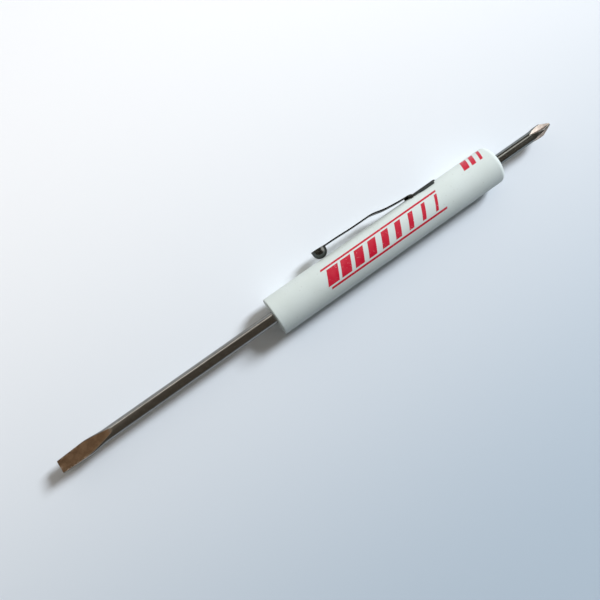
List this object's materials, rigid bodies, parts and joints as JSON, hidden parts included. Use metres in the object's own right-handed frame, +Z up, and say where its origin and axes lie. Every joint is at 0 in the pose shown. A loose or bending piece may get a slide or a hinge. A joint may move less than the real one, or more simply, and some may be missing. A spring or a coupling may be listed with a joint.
{
  "type": "pocket screwdriver",
  "caption": "Pocket screwdriver with a white pen-shaped barrel, a long flat blade at one end, a short cross-point bit at the other and a springy steel pocket clip with a ball end.",
  "frame": {"origin": "on the table, under the middle of the barrel's length, on the flat that the barrel rests on", "axes": "+X along the tool from the flat blade to the cross point, +Y towards the clip, +Z up from the table"},
  "size_m": [0.1628, 0.0141, 0.0109],
  "materials": {
    "barrel_plastic": "glossy moulded white plastic",
    "plated_steel": "nickel-plated steel, ground at the tips",
    "spring_steel": "plated spring steel sheet"
  },
  "bodies": {
    "handle": {"barrel": "barrel_plastic", "flat_blade": "plated_steel", "cross_point_bit": "plated_steel", "clip_base": "spring_steel"},
    "clip": {"clip_arm": "spring_steel"}
  },
  "joints": [
    {"name": "clip_flex", "type": "hinge", "parent": "handle", "child": "clip", "pos_m": [0.01045, 0.00635, 0.0054], "axis": [0, 0, -1], "range_deg": [0, 6], "stiffness_Nm_per_rad": 0.315, "springref_deg": -2.49}
  ]
}
